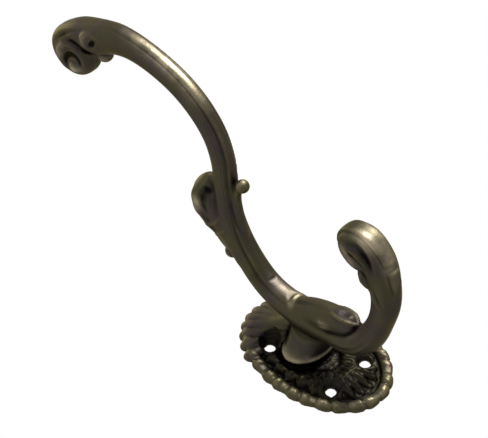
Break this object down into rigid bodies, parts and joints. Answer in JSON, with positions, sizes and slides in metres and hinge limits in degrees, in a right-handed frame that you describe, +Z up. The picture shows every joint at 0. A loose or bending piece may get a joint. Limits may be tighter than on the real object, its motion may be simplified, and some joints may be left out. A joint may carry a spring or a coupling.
{
  "type": "coat hook",
  "caption": "Cast wall hook with a lobed oval backplate, a long scrolled upper arm with a leaf and a short scrolled lower hook.",
  "frame": {"origin": "centre of the oval backplate, on its flat back face, where it meets the wall", "axes": "+Z up the wall, towards the end of the upper arm; +Y into the wall, so the hook reaches out along -Y; X across, with X = 0 the plane of symmetry"},
  "size_m": [0.045, 0.1, 0.1681],
  "materials": {
    "antique_brass": "dark patina, worn bright on the edges"
  },
  "bodies": {
    "root": {"coat_hook": "antique_brass"}
  },
  "joints": []
}
